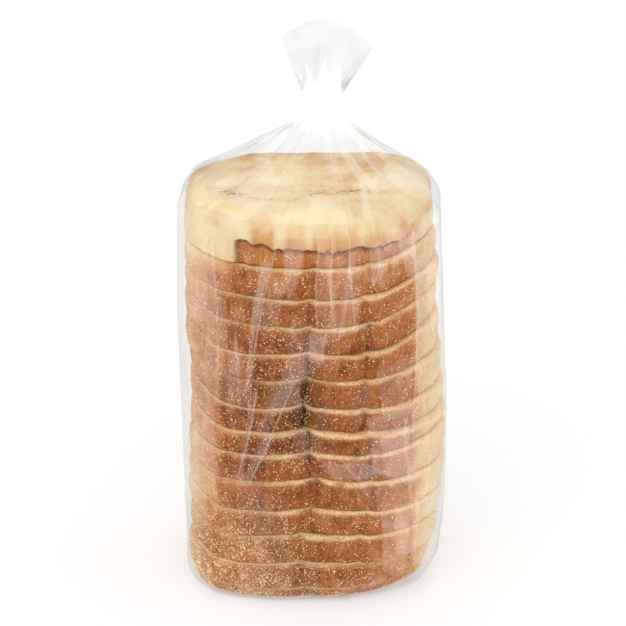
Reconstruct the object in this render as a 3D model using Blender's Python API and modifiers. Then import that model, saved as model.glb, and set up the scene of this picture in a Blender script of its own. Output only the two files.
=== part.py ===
"""Sliced loaf in a clear bread bag, standing on one end.

Units are metres and +Z is up. The loaf's browned top crust faces -Y and its flat pan base faces +Y.
The origin is at the middle of the footprint, on the surface that the bag stands on. The bag is one
closed solid out to its film: a body with the film's flat panels, pleated shoulders, a gathered neck
and a fan-shaped ruffle of loose film. The tie is a separate band round the neck.
"""

import math

import bmesh
import bpy
from mathutils import Vector

# Body: the film's outside, round the stack of slices
BODY_HALF_WIDTH = 0.0605
BODY_TOP_SHARE = 0.97  # how wide the body's top is against its base
BODY_FRONT = 0.0580  # from the widest line to the front
BODY_BACK = 0.0500  # from the widest line to the back
WIDEST_LINE_Y = 0.0040
FRONT_POWER_LOW = 3.2  # superellipse power of the domed side near the base: squarish
FRONT_POWER_HIGH = 2.2  # and near the shoulders: round
BACK_POWER = 4.6
PANEL_DEGREES = (0, 20, 43, 68, 90, 113, 137, 160, 180, 201, 222, 246, 270, 293, 316, 338)
PANEL_REACH = math.radians(70.0)  # a panel can't be met further round than this
PANEL_WANDER = math.radians(5.0)  # how far a panel turns as it goes up
PANEL_WAVES = 2.3
PANEL_PHASE = 2.1  # from one panel's wander to the next one's

# Base: a flat spot with a rounded edge, rounder on the loaf's +X side
BASE_INSET = 0.0080
BASE_INSET_EXTRA = 0.0060
BASE_ROUND_HEIGHT = 0.0200

# Shoulders, neck and ruffle
BODY_TOP_Z = 0.1700
RIM_TOP_Z = 0.1880
RIM_TOP_SHARE = 0.88  # how wide the section still is there
RIM_SHARE = 0.30  # of the shoulder's rings, the ones that round its rim
NECK_LOW_Z = 0.2150
NECK_HIGH_Z = 0.2250
NECK_RADIUS = 0.0070
NECK_CENTRE = Vector((0.0034, 0.0))
RUFFLE_TOP_Z = 0.2610
RUFFLE_CORNER_DROP = 0.0080
RUFFLE_HALF_WIDTH = 0.0200
RUFFLE_HALF_DEPTH = 0.0125
RUFFLE_SPREAD_POWER = 0.85
RUFFLE_LEAN_X = 0.0032
RUFFLE_DISH = 0.0030
SHOULDER_PLEATS = 18
SHOULDER_PLEAT_DEPTH = 0.0016
SHOULDER_PLEAT_SHIFT = 1.5  # bunches the pleats on one side, in radians of their wave
RUFFLE_PLEATS = 9
RUFFLE_PLEAT_SHARE = 0.16  # of the ruffle's depth
RUFFLE_PLEAT_PHASE = 0.6

# Tie
TIE_GAP = 0.0003
TIE_WALL = 0.0006
TIE_HEIGHT = 0.0062
TIE_EDGE = 0.00015
TIE_STEPS = 48
TIE_MERGE = 0.00001

SEGMENTS = 72
BASE_RINGS = 6
BODY_RINGS = 15
SHOULDER_RINGS = 9
NECK_RINGS = 4
RUFFLE_RINGS = 8
SHARP_ANGLE = math.radians(35.0)

FILM_COLOUR = (0.93, 0.94, 0.95)
FILM_ROUGHNESS = 0.15
TIE_COLOUR = (0.94, 0.94, 0.93)
TIE_ROUGHNESS = 0.45


def clear_scene():
    for thing in list(bpy.data.objects):
        bpy.data.objects.remove(thing, do_unlink=True)


def make_collection(name):
    collection = bpy.data.collections.new(name)
    bpy.context.scene.collection.children.link(collection)
    return collection


def make_material(name, colour, roughness):
    material = bpy.data.materials.new(name)
    material.use_nodes = True
    shader = material.node_tree.nodes["Principled BSDF"]
    shader.inputs["Base Color"].default_value = (*colour, 1.0)
    shader.inputs["Roughness"].default_value = roughness
    shader.inputs["Metallic"].default_value = 0.0
    return material


def mix(a, b, share):
    return a + (b - a) * share


def smooth(share):
    share = min(max(share, 0.0), 1.0)
    return share * share * (3.0 - 2.0 * share)


def support(angle, front_power):
    """How far the body's smooth outline reaches along a direction, from the widest line's middle."""
    across = BODY_HALF_WIDTH * abs(math.cos(angle))
    if math.sin(angle) < 0.0:
        power = front_power
        along = BODY_FRONT * abs(math.sin(angle))
    else:
        power = BACK_POWER
        along = BODY_BACK * abs(math.sin(angle))
    dual = power / (power - 1.0)
    return (across**dual + along**dual) ** (1.0 / dual)


def panel_angle(number, z):
    """Where a panel faces: the front, back and side ones stay put and the others wander a little."""
    degrees = PANEL_DEGREES[number]
    angle = math.radians(degrees)
    if degrees % 90:
        angle += PANEL_WANDER * math.sin(PANEL_WAVES * math.pi * z / BODY_TOP_Z + PANEL_PHASE * number)
    return angle


def body_radius(angle, z):
    """Distance to the film's panels: each is flat, and just touches the smooth outline."""
    front_power = mix(FRONT_POWER_LOW, FRONT_POWER_HIGH, smooth(z / BODY_TOP_Z))
    nearest = math.inf
    for number in range(len(PANEL_DEGREES)):
        panel = panel_angle(number, z)
        facing = math.cos(angle - panel)
        if facing > math.cos(PANEL_REACH):
            nearest = min(nearest, support(panel, front_power) / facing)
    return nearest * mix(1.0, BODY_TOP_SHARE, smooth(z / BODY_TOP_Z))


def angles():
    return [2.0 * math.pi * i / SEGMENTS for i in range(SEGMENTS)]


def on_ring(angle, radius, centre, z):
    return Vector((centre[0] + radius * math.cos(angle), centre[1] + radius * math.sin(angle), z))


def base_rings():
    """The rounded edge between the flat spot and the body."""
    middle = (0.0, WIDEST_LINE_Y)
    rings = []
    for step in range(BASE_RINGS):
        turn = 0.5 * math.pi * step / BASE_RINGS
        z = BASE_ROUND_HEIGHT * (1.0 - math.cos(turn))
        ring = []
        for angle in angles():
            inset = BASE_INSET + BASE_INSET_EXTRA * (0.5 + 0.5 * math.cos(angle))
            radius = body_radius(angle, BASE_ROUND_HEIGHT) - inset * (1.0 - math.sin(turn))
            ring.append(on_ring(angle, radius, middle, z))
        rings.append(ring)
    return rings


def body_rings():
    middle = (0.0, WIDEST_LINE_Y)
    rings = []
    for step in range(BODY_RINGS):
        z = mix(BASE_ROUND_HEIGHT, BODY_TOP_Z, step / BODY_RINGS)
        rings.append([on_ring(angle, body_radius(angle, z), middle, z) for angle in angles()])
    return rings


def shoulder_rings():
    """From the body's top, over a rounded rim, then straight up to the neck in pleats."""
    across = BODY_HALF_WIDTH * RIM_TOP_SHARE - NECK_RADIUS
    outward = Vector((NECK_LOW_Z - RIM_TOP_Z, across)).normalized()
    rings = []
    for step in range(SHOULDER_RINGS):
        share = step / SHOULDER_RINGS
        rim = min(share / RIM_SHARE, 1.0)
        rise = max(0.0, (share - RIM_SHARE) / (1.0 - RIM_SHARE))
        width = mix(mix(1.0, RIM_TOP_SHARE, smooth(rim) ** 2), 0.0, rise)
        z = mix(mix(BODY_TOP_Z, RIM_TOP_Z, rim), NECK_LOW_Z, rise)
        centre = Vector((0.0, WIDEST_LINE_Y)).lerp(NECK_CENTRE, rise)
        depth = SHOULDER_PLEAT_DEPTH * math.sin(math.pi * rise)
        ring = []
        for angle in angles():
            pleat = depth * math.sin(SHOULDER_PLEATS * angle + SHOULDER_PLEAT_SHIFT * math.sin(angle))
            radius = mix(NECK_RADIUS, body_radius(angle, BODY_TOP_Z), width) + pleat * outward.x
            ring.append(on_ring(angle, radius, centre, z + pleat * outward.y))
        rings.append(ring)
    return rings


def neck_rings():
    rings = []
    for step in range(NECK_RINGS):
        z = mix(NECK_LOW_Z, NECK_HIGH_Z, step / (NECK_RINGS - 1))
        rings.append([on_ring(angle, NECK_RADIUS, NECK_CENTRE, z) for angle in angles()])
    return rings


def ruffle_rings():
    """Loose film that fans out above the neck, with a curved cut edge."""
    rings = []
    for step in range(RUFFLE_RINGS):
        share = (step + 1) / RUFFLE_RINGS
        spread = share**RUFFLE_SPREAD_POWER
        depth = RUFFLE_PLEAT_SHARE * smooth(2.0 * share)
        centre = NECK_CENTRE + Vector((RUFFLE_LEAN_X * share, 0.0))
        ring = []
        for angle in angles():
            wave = 1.0 + depth * math.sin(RUFFLE_PLEATS * angle + RUFFLE_PLEAT_PHASE)
            across = mix(NECK_RADIUS, RUFFLE_HALF_WIDTH, spread) * math.cos(angle)
            along = mix(NECK_RADIUS, RUFFLE_HALF_DEPTH, spread) * math.sin(angle) * wave
            drop = RUFFLE_CORNER_DROP * share * math.cos(angle) ** 2
            z = mix(NECK_HIGH_Z, RUFFLE_TOP_Z, share) - drop
            ring.append(Vector((centre[0] + across, centre[1] + along, z)))
        rings.append(ring)
    return rings


def loft(name, rings, top_point):
    """One closed mesh through rings of equal length: a flat face below and a fan of faces above."""
    shape = bmesh.new()
    loops = [[shape.verts.new(point) for point in ring] for ring in rings]
    for low, high in zip(loops, loops[1:]):
        for i in range(SEGMENTS):
            j = (i + 1) % SEGMENTS
            shape.faces.new((low[i], low[j], high[j], high[i]))
    shape.faces.new(list(reversed(loops[0])))
    top = shape.verts.new(top_point)
    for i in range(SEGMENTS):
        shape.faces.new((loops[-1][i], loops[-1][(i + 1) % SEGMENTS], top))
    bmesh.ops.recalc_face_normals(shape, faces=shape.faces)
    mesh = bpy.data.meshes.new(name)
    shape.to_mesh(mesh)
    shape.free()
    return mesh


def centring_shift(rings):
    """What moves the footprint's bounding box so that its middle is at the origin."""
    xs = [point.x for ring in rings for point in ring]
    ys = [point.y for ring in rings for point in ring]
    return Vector((-(min(xs) + max(xs)) / 2.0, -(min(ys) + max(ys)) / 2.0, 0.0))


def make_bag(collection):
    rings = base_rings() + body_rings() + shoulder_rings() + neck_rings() + ruffle_rings()
    shift = centring_shift(rings)
    rings = [[point + shift for point in ring] for ring in rings]
    ruffle_middle = NECK_CENTRE + Vector((RUFFLE_LEAN_X, 0.0))
    top_point = Vector((*ruffle_middle, RUFFLE_TOP_Z - RUFFLE_DISH)) + shift
    bag = bpy.data.objects.new("bag", loft("bag", rings, top_point))
    bag.data.shade_smooth()
    bag.data.set_sharp_from_angle(angle=SHARP_ANGLE)
    bag.data.materials.append(make_material("clear_film", FILM_COLOUR, FILM_ROUGHNESS))
    collection.objects.link(bag)
    return shift


def tie_profile():
    """The band's cross-section: a closed rectangle at +X, its outer side running downwards."""
    inner = NECK_RADIUS + TIE_GAP
    outer = inner + TIE_WALL
    half = TIE_HEIGHT / 2.0
    corners = ((outer, half), (outer, -half), (inner, -half), (inner, half))
    shape = bmesh.new()
    points = [shape.verts.new((x, 0.0, z)) for x, z in corners]
    for i, point in enumerate(points):
        shape.edges.new((point, points[(i + 1) % len(points)]))
    mesh = bpy.data.meshes.new("tie")
    shape.to_mesh(mesh)
    shape.free()
    return mesh


def make_tie(collection, shift):
    """A short turned band round the neck, with eased edges."""
    tie = bpy.data.objects.new("tie", tie_profile())
    turn = tie.modifiers.new("turn", "SCREW")
    turn.axis = "Z"
    turn.steps = TIE_STEPS
    turn.render_steps = TIE_STEPS
    turn.use_merge_vertices = True
    turn.merge_threshold = TIE_MERGE
    ease = tie.modifiers.new("ease", "BEVEL")
    ease.width = TIE_EDGE
    ease.segments = 2
    ease.limit_method = "ANGLE"
    ease.angle_limit = SHARP_ANGLE
    tie.location = Vector((*NECK_CENTRE, (NECK_LOW_Z + NECK_HIGH_Z) / 2.0)) + shift
    tie.data.materials.append(make_material("tie", TIE_COLOUR, TIE_ROUGHNESS))
    collection.objects.link(tie)


def main():
    clear_scene()
    collection = make_collection("loaf_in_bread_bag")
    shift = make_bag(collection)
    make_tie(collection, shift)


main()
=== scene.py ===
"""Looks of a sliced loaf in its clear bread bag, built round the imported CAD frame.

Shapes are worked out in millimetres, in the frame's axes: +Z up the loaf, -Y towards its browned top
crust, +X to the right. A mesh is scaled to metres when it is made. The bag node is replaced by the film
and by what it holds: two end pieces, twelve slices and the semolina on their crust.
"""

import math

import bpy
import numpy as np
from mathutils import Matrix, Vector
from mathutils.geometry import delaunay_2d_cdt


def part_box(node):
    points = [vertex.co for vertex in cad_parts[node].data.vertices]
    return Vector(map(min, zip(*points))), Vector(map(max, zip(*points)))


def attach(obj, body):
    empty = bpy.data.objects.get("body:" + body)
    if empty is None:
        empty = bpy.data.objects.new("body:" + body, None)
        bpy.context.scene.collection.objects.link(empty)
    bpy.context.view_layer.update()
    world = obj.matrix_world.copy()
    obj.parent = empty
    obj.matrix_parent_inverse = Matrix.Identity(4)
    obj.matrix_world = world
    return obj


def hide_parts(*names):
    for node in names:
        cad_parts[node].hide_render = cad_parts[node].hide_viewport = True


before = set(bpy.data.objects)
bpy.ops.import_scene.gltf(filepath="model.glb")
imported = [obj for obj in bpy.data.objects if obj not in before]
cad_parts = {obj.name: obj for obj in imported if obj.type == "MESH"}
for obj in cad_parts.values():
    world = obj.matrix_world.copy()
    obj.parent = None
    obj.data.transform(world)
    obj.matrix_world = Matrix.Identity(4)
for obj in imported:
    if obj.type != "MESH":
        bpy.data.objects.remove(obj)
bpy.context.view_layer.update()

MM = 0.001

# ---------------------------------------------------------------- sizes, from the frame where it has them

BAG_LOW, BAG_HIGH = (np.array(corner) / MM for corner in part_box("bag"))
TIE_LOW, TIE_HIGH = (np.array(corner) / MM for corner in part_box("tie"))
NECK = (TIE_LOW + TIE_HIGH) / 2.0
TIE_RADIUS = (TIE_HIGH[0] - TIE_LOW[0]) / 2.0
NECK_RADIUS = TIE_RADIUS - 1.3  # of the film's gathers inside the tie

FILM_GAP = 1.6  # about how far the film's panels stand off the loaf
SIDE_ROOM, FRONT_ROOM, BACK_ROOM = 4.2, 4.6, 4.4  # from the bag solid to the loaf's smooth outline
LOAF_WIDEST_Y = 4.0
LOAF_HALF_WIDTH = BAG_HIGH[0] - SIDE_ROOM
LOAF_FRONT = -BAG_LOW[1] + LOAF_WIDEST_Y - FRONT_ROOM
LOAF_BACK = BAG_HIGH[1] - LOAF_WIDEST_Y - BACK_ROOM
LOAF_TOP = 185.0

SLICES = 12
SLICE_PITCH = 12.7
TOP_CUT = 160.1  # height of the cut under the upper end piece
CUT_GAP = 0.5
# How far each cut sags at the front of the loaf, from the top cut down
CUT_SAG = (0.0, 1.8, 2.2, 3.5, 3.4, 4.2, 2.4, 0.0, 0.2, 1.8, 1.0, 1.5, 0.4)
# How far each cut rises towards the loaf's left and right sides
LEFT_LIFT = (1.0, 2.0, 3.5, 3.0, 2.5, 4.5, 5.0, 3.0, 3.0, 5.0, 6.0, 4.0, 1.5)
RIGHT_LIFT = (5.0, 5.5, 7.0, 5.5, 2.5, 0.5, 0.5, 4.5, 2.0, 2.0, 2.0, 1.5, 1.0)
# How far each cut rises near the main crease, over about half the crust's width
MIDDLE_LIFT = (0.0, 0.0, 0.3, 2.1, 2.1, 2.2, 2.0, 1.9, 2.4, 2.0, 1.5, 1.3, 0.2)
# Where the two creases of the top crust cross each slice, from the top slice down, then the lower end
CREASE_X = (0.5, -1.5, -2.0, -2.6, -3.6, -4.4, -2.0, -1.4, 2.0, -0.8, -5.0, -5.5, -4.0)
SIDE_CREASE_X = (25.0, 23.0, 24.8, 24.2, 23.2, 23.4, 26.0, 26.0, 26.2, 24.0, 21.0, 20.0, 21.0)

rng = np.random.default_rng(7)


# ---------------------------------------------------------------- small mathematics

def smooth(share):
    share = np.clip(share, 0.0, 1.0)
    return share * share * (3.0 - 2.0 * share)


def mix(a, b, share):
    return a + (b - a) * share


def rise(low, high, value):
    """0 below low, 1 above high, and smooth between."""
    return smooth((value - low) / (high - low))


def hump(value, centre, reach):
    """1 at the centre, falling smoothly to 0 at its reach on both sides."""
    return smooth(1.0 - np.abs(value - centre) / reach)


NOISE_TABLE = np.random.default_rng(3).random(65536) * 2.0 - 1.0


def lattice(i, j, k, seed):
    code = i * 73856093 ^ j * 19349663 ^ k * 83492791 ^ (seed * 2654435761)
    return NOISE_TABLE[(code ^ (code >> 15)) & 65535]


def noise(x, y, z, size, seed):
    """Smooth noise between -1 and 1 with features of about that size, which may differ by axis."""
    size = np.broadcast_to(np.asarray(size, float), 3)
    cells, parts = [], []
    for value, width in zip((x, y, z), size):
        place = np.asarray(value, float) / width + 100.0
        cell = np.floor(place).astype(np.int64)
        cells.append(cell)
        parts.append(smooth(place - cell))
    total = 0.0
    for corner in range(8):
        dx, dy, dz = corner & 1, corner >> 1 & 1, corner >> 2
        weight = 1.0
        for part, far in zip(parts, (dx, dy, dz)):
            weight = weight * (part if far else 1.0 - part)
        total = total + weight * lattice(cells[0] + dx, cells[1] + dy, cells[2] + dz, seed)
    return total


def layered_noise(x, y, z, size, seed, layers=3):
    total, scale, most = 0.0, 1.0, 0.0
    for layer in range(layers):
        total = total + noise(x, y, z, np.asarray(size, float) * scale, seed + 11 * layer) * scale
        most += scale
        scale *= 0.5
    return total / most


# ---------------------------------------------------------------- meshes

def front_dense_angles(count, density):
    """Angles round the loaf from the middle of its back, closer together at the front (-Y)."""
    turn = np.arange(count) / count
    return math.pi / 2.0 + 2.0 * math.pi * turn + density * np.sin(2.0 * math.pi * turn)


def grid_faces(rows, count):
    """Quads of a tube of rows, each a closed ring of that many points."""
    low = np.arange(rows - 1)[:, None] * count
    here = np.arange(count)[None, :]
    there = (here + 1) % count
    quads = np.stack([low + here, low + there, low + count + there, low + count + here], axis=-1)
    return quads.reshape(-1, 4).tolist()


def add_to_scene(name, data):
    thing = bpy.data.objects.new(name, data)
    bpy.context.scene.collection.objects.link(thing)
    return thing


def make_mesh(name, points, faces, attributes=None, smooth_faces=True):
    mesh = bpy.data.meshes.new(name)
    mesh.from_pydata((np.asarray(points) * MM).tolist(), [], faces)
    for label, values in (attributes or {}).items():
        layer = mesh.attributes.new(label, "FLOAT", "POINT")
        layer.data.foreach_set("value", np.asarray(values, np.float32))
    if smooth_faces:
        mesh.shade_smooth()
    mesh.update()
    return add_to_scene(name, mesh)


class Rings:
    """Rings of points up a piece, from a closed end, with what its material reads at each point."""

    def __init__(self):
        self.points = []
        self.values = {}

    def add(self, x, y, z, **values):
        """Adds a ring, or a stack of rings where x, y, z or a value has rows of its own."""
        shape = np.broadcast_shapes(*(np.shape(part) for part in (x, y, z, *values.values())))
        stack = (-1, shape[-1])
        x, y, z = (np.broadcast_to(part, shape).reshape(stack) for part in (x, y, z))
        self.points.append(np.stack([x, y, z], axis=-1))
        for label, value in values.items():
            self.values.setdefault(label, []).append(np.broadcast_to(value, shape).reshape(stack))

    def part(self, first, count):
        return np.concatenate(self.points)[first:first + count]

    def make(self, name, closed_top=True):
        """The piece: a tube of the rings, with a fan of faces over one end or both."""
        points = np.concatenate(self.points)
        rows, count, _ = points.shape
        ends = (0, -1) if closed_top else (0,)
        middles = [points[end].mean(axis=0) for end in ends]
        faces = grid_faces(rows, count)
        for i in range(count):
            j = (i + 1) % count
            faces.append((j, i, rows * count))
            if closed_top:
                last = (rows - 1) * count
                faces.append((last + i, last + j, rows * count + 1))
        attributes = {}
        for label, parts in self.values.items():
            values = np.concatenate(parts)
            attributes[label] = np.concatenate([values.reshape(-1), [values[end].mean() for end in ends]])
        return make_mesh(name, np.concatenate([points.reshape(-1, 3), middles]), faces, attributes)


# ---------------------------------------------------------------- the loaf's outline

def loaf_middle_x(z):
    """The stack leans a little: its slices have slid sideways in the bag."""
    return -2.0 * rise(110.0, 165.0, z) + 1.8 * hump(z, 66.0, 62.0) - 0.2 * rise(40.0, 0.0, z)


def loaf_radius(angle, z):
    """The uncut loaf's smooth outline, from the point in the middle of its widest line."""
    front = np.sin(angle) < 0.0
    to_right = rise(-0.1, 0.8, np.cos(angle))
    front_power = mix(3.2, 2.05, rise(35.0, 125.0, z)) - mix(-0.7, 0.75, to_right) * rise(30.0, 6.0, z)
    power = np.where(front, front_power, 5.0)
    depth = np.where(front, LOAF_FRONT, LOAF_BACK)
    across = np.abs(np.cos(angle)) / LOAF_HALF_WIDTH
    along = np.abs(np.sin(angle)) / depth
    radius = (across**power + along**power) ** (-1.0 / power)
    slim = 1.0 - mix(0.055, 0.085, to_right) * rise(52.0, 0.0, z) * rise(0.1, 0.7, np.abs(np.cos(angle)))
    return radius * slim * mix(1.0, 0.99, rise(60.0, 180.0, z))


def crease_cut(x, place, wide, slit):
    """0 away from a crease and 1 at its bottom: a wide slope on both sides of a narrow slit."""
    away = np.abs(x - place)
    return 0.6 * np.exp(-away / wide) + 0.4 * np.exp(-((away / slit) ** 2))


def crust_relief(x, y, z, slice_number):
    """How far the crust stands out from the smooth outline, and how deep in a crease it is (0 to 1), which is
    painted on the crust as shade.
    """
    front = rise(8.0, -14.0, y)
    main = crease_cut(x, CREASE_X[slice_number], 6.5, 1.1)
    side = crease_cut(x, SIDE_CREASE_X[slice_number], 5.5, 0.9)
    main_depth = 1.8 + 4.8 * hump(z, 89.0, 43.0)
    side_depth = 1.4 + 1.7 * hump(z, 110.0, 80.0)
    lobes = 1.9 - main * main_depth - side * side_depth
    wrinkles = 0.30 * noise(x, y, z, (3.2, 3.2, 30.0), 5) + 0.26 * noise(x, y, z, (1.7, 1.7, 9.0), 6)
    swell = 0.9 * noise(x, y, z, (17.0, 17.0, 24.0), 8)
    relief = front * (lobes + wrinkles + swell) + (1.0 - front) * 0.35 * swell
    return relief, front * np.maximum(main * main_depth / 4.4, side * side_depth / 7.5)


def cut_height(number, x, y):
    """Height of a cut over the loaf's section: it sags at the front, and lifts at the creases."""
    front = rise(30.0, -45.0, y)
    near = min(number, SLICES)
    lift = crease_cut(x, CREASE_X[near], 6.0, 3.0) + 0.7 * crease_cut(x, SIDE_CREASE_X[near], 5.0, 2.5)
    level = TOP_CUT - SLICE_PITCH * number
    ripple = 0.42 * noise(x, y, number * 7.7, (9.0, 9.0, 5.0), 21)
    ripple = ripple + 0.25 * noise(x, y, number * 7.7, (3.5, 3.5, 5.0), 22)
    edge_lift = LEFT_LIFT[near] * rise(-40.0, -58.0, x) + RIGHT_LIFT[near] * rise(22.0, 56.0, x)
    edge_lift = edge_lift * rise(36.0, -6.0, y)
    middle_lift = MIDDLE_LIFT[number] * hump(x, -3.0, 32.0)
    return level + (middle_lift - CUT_SAG[number] + 1.1 * lift - 0.5) * front + ripple + edge_lift


# ---------------------------------------------------------------- bread

RING_POINTS = 340
RING_DENSITY = 0.45
SIDE_ROWS = 10
ROUND_TURNS = np.linspace(0.0, math.pi / 2.0, 5)  # turns of a rounded edge's rows
BOTTOM_ROUND = 0.8
FACE_RINGS = (0.97, 0.92, 0.84, 0.72, 0.56, 0.36, 0.16)
BREAD_ANGLES = front_dense_angles(RING_POINTS, RING_DENSITY)

# Patches of the top crust that are baked more or less, the two by the main crease at heights 88 and 94
# painting its shade: x and its reach, height and its reach, how much
BAKED_AND_SHADED_PATCHES = (
    (-26.0, 14.0, 54.0, 40.0, 0.10),
    (-26.0, 14.0, 140.0, 30.0, 0.10),
    (-11.0, 13.0, 88.0, 24.0, 0.12),
    (-6.0, 24.0, 8.0, 40.0, 0.10),
    (-18.0, 28.0, 120.0, 60.0, 0.10),
    (5.0, 9.0, 17.0, 10.0, 0.09),
    (-24.0, 16.0, 34.0, 16.0, 0.09),
    (-24.0, 16.0, 72.0, 16.0, 0.09),
    (-31.0, 9.0, 150.0, 18.0, 0.08),
    (-5.0, 9.0, 94.0, 14.0, 0.10),
    (-28.0, 16.0, 66.0, 24.0, 0.07),
    (-18.0, 9.0, 18.0, 12.0, 0.08),
    (19.0, 8.0, 146.0, 28.0, -0.08),
    (42.0, 10.0, 30.0, 26.0, -0.10),
)


def brown_share(x, y, z, depth_in_loaf):
    """How baked the crust is: most on the top crust's middle, less on the sides, least where they bulge; by
    the main crease it is partly painted shade.
    """
    wander = 1.3 * noise(x, y, z, (6.0, 6.0, 9.0), 31)
    left_edge = -36.5 - 9.0 * depth_in_loaf + wander
    right_edge = 45.0 - 1.0 * depth_in_loaf - wander
    top = rise(left_edge - 1.6, left_edge + 1.2, x) * rise(right_edge + 4.0, right_edge - 2.5, x)
    top = top * rise(-2.0, -12.0, y)
    middle = 0.74 + 0.12 * hump(z, 88.0, 72.0) - 0.02 * rise(24.0, 4.0, z) - 0.07 * rise(138.0, 160.0, z)
    middle = middle - 0.13 * rise(18.0, 44.0, x)
    for place, reach, height, height_reach, more in BAKED_AND_SHADED_PATCHES:
        middle = middle + more * hump(x, place, reach) * hump(z, height, height_reach)
    left_side = mix(0.70, 0.38, rise(-44.0, -58.0, x)) - 0.32 * rise(150.0, 160.0, z)
    left_side = left_side - 0.14 * hump(z, 58.0, 36.0) - 0.10 * hump(z, 42.0, 22.0)
    right_side = mix(0.44, 0.06, rise(44.0, 57.0, x)) - 0.12 * rise(62.0, 36.0, z)
    sides = np.where(x < 0.0, left_side, right_side)
    base = 0.62 * rise(18.0, 40.0, y)
    patch = 0.16 * layered_noise(x, y, z, 8.0, 33)
    return np.clip(mix(np.maximum(sides, base), middle, top) + patch, 0.0, 1.0)


def pale_rim(number, level, x0, y0):
    """How much crumb shows along a slice's upper edge: uneven, and least at the left and in creases."""
    rim = 0.80 + 0.5 * noise(x0, y0, number * 9.1, 6.0, 42) + 0.35 * noise(x0, y0, number * 9.1, 17.0, 43)
    rim = np.clip(rim, 0.08, 1.0) * mix(0.32, 1.0, rise(-30.0, 2.0, x0))
    rim = rim * mix(1.0, 0.6, rise(40.0, 52.0, np.abs(x0)))
    rim = rim * (1.0 - 0.75 * hump(x0, CREASE_X[number] - 2.5, 6.0))
    return np.clip(rim * (1.0 + 0.3 * hump(level, 55.0, 40.0) - 0.4 * rise(32.0, 14.0, level)), 0.0, 1.0)


def bread_slice(number):
    """One slice: crust all round, soft rounded edges that show crumb, and porous cut faces."""
    own = np.random.default_rng(100 + number)
    shift_x, shift_y = own.uniform(-0.7, 0.7), own.uniform(-1.1, 0.7)
    turned_angle = BREAD_ANGLES + math.radians(own.uniform(-0.9, 0.9))
    level = TOP_CUT - SLICE_PITCH * (number + 0.5)
    middle_x = loaf_middle_x(level) + shift_x
    middle_y = LOAF_WIDEST_Y + shift_y
    smooth_radius = loaf_radius(BREAD_ANGLES, level) * own.uniform(0.994, 1.004)
    x0 = middle_x + smooth_radius * np.cos(turned_angle)
    y0 = middle_y + smooth_radius * np.sin(turned_angle)
    top_round = mix(2.0, 1.6, rise(50.0, 90.0, level)) + 0.7 * noise(x0, y0, number * 9.1, 9.0, 41)
    rim = pale_rim(number, level, x0, y0)
    rings = Rings()

    def add_ring(share, inset, lift, cut, bulge=0.0, share_in=1.0):
        """A ring at that share of the crust's height, or that far above the cut face nearest to it."""
        z0 = level + (share - 0.5) * SLICE_PITCH
        # The crease's depth comes back as painted shade for the crust's colour
        relief, shade = crust_relief(x0, y0, z0, number)
        ledge = 1.5 * (share - 0.6) * rise(12.0, -6.0, y0) * mix(0.3, 1.0, rise(-32.0, -6.0, x0))
        radius = (smooth_radius + relief * 0.95 + ledge - inset + bulge) * share_in
        x = middle_x + radius * np.cos(turned_angle)
        y = middle_y + radius * np.sin(turned_angle)
        low = cut_height(number + 1, x, y) + CUT_GAP / 2.0
        high = cut_height(number, x, y) - CUT_GAP / 2.0
        if lift is None:
            z = mix(low + BOTTOM_ROUND, high - top_round, share)
        else:
            z = (low if share < 0.5 else high) + lift
        rings.add(x, y, z, brown=brown_share(x, y, z, (number + 0.5) / SLICES), cut=cut, shade=shade)

    for share_in in reversed(FACE_RINGS):
        add_ring(0.0, BOTTOM_ROUND, 0.0, 1.0, share_in=share_in)
    for turn in ROUND_TURNS[:-1]:
        inset = BOTTOM_ROUND * (1.0 - math.sin(turn))
        add_ring(0.0, inset, BOTTOM_ROUND * (1.0 - math.cos(turn)), 0.5 * (1.0 - math.sin(turn)))
    for share in np.linspace(0.0, 1.0, SIDE_ROWS):
        near_top = 0.22 * rise(0.86, 1.0, share)
        add_ring(share, 0.0, None, near_top * rim, bulge=0.35 * math.sin(math.pi * share))
    for turn in ROUND_TURNS[1:]:
        cut = mix(0.22 * rim, mix(rim, 1.0, rise(0.7, 1.3, turn)), rise(0.0, 0.6, turn))
        add_ring(1.0, top_round * (1.0 - math.cos(turn)), -top_round * (1.0 - math.sin(turn)), cut)
    for share_in in FACE_RINGS:
        add_ring(1.0, top_round, 0.0, 1.0, share_in=share_in)
    crust_rows = SIDE_ROWS + len(ROUND_TURNS)
    return rings.make(f"slice_{number + 1:02d}"), rings.part(len(FACE_RINGS) + 1, crust_rows)


HEEL_ROUND = 11.0
HEEL_RIM = LOAF_TOP - HEEL_ROUND
HEEL_FOOT = TOP_CUT + 1.0
HEEL_SIDE_ROWS = 30
HEEL_ROUND_ROWS = 14
HEEL_FACE_ROWS = 64
BAND_LEFT, BAND_RIGHT = -34.0, 44.0
BAND_ROWS = 10  # of the side rows, those with semolina
BREAK_HEIGHT = 168.3  # where the pale lip of the end piece ends, over the browner band
# Whitish patches on the lip: their x, half their width, and how much paler they are
LIP_PATCHES = ((-32.0, 7.0, 0.34), (-15.0, 4.5, 0.28), (-2.0, 3.5, 0.26), (22.0, 4.0, 0.26), (35.0, 5.0, 0.2))
# Where the end's face has its crease, and a fold at its back left: x and y of each point
CREASE_PATH = ((-42.0, -13.0), (-28.0, -23.0), (-10.0, -29.0), (3.0, -16.0), (21.0, -13.5), (34.0, -15.0))
FOLD_PATH = ((-38.0, 6.0), (-30.0, 22.0), (-22.0, 30.0))


def path_distance(x, y, path):
    """Distance from each point to a line through the path's points."""
    best = np.full(x.shape, np.inf)
    for (x1, y1), (x2, y2) in zip(path, path[1:]):
        length2 = (x2 - x1) ** 2 + (y2 - y1) ** 2
        along = np.clip(((x - x1) * (x2 - x1) + (y - y1) * (y2 - y1)) / length2, 0.0, 1.0)
        best = np.minimum(best, np.hypot(x - x1 - along * (x2 - x1), y - y1 - along * (y2 - y1)))
    return best


def lip_patches(x):
    """How much paler the end piece's lip is, at each place across it."""
    return sum(paler * hump(x, place, half_width) for place, half_width, paler in LIP_PATCHES)


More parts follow.
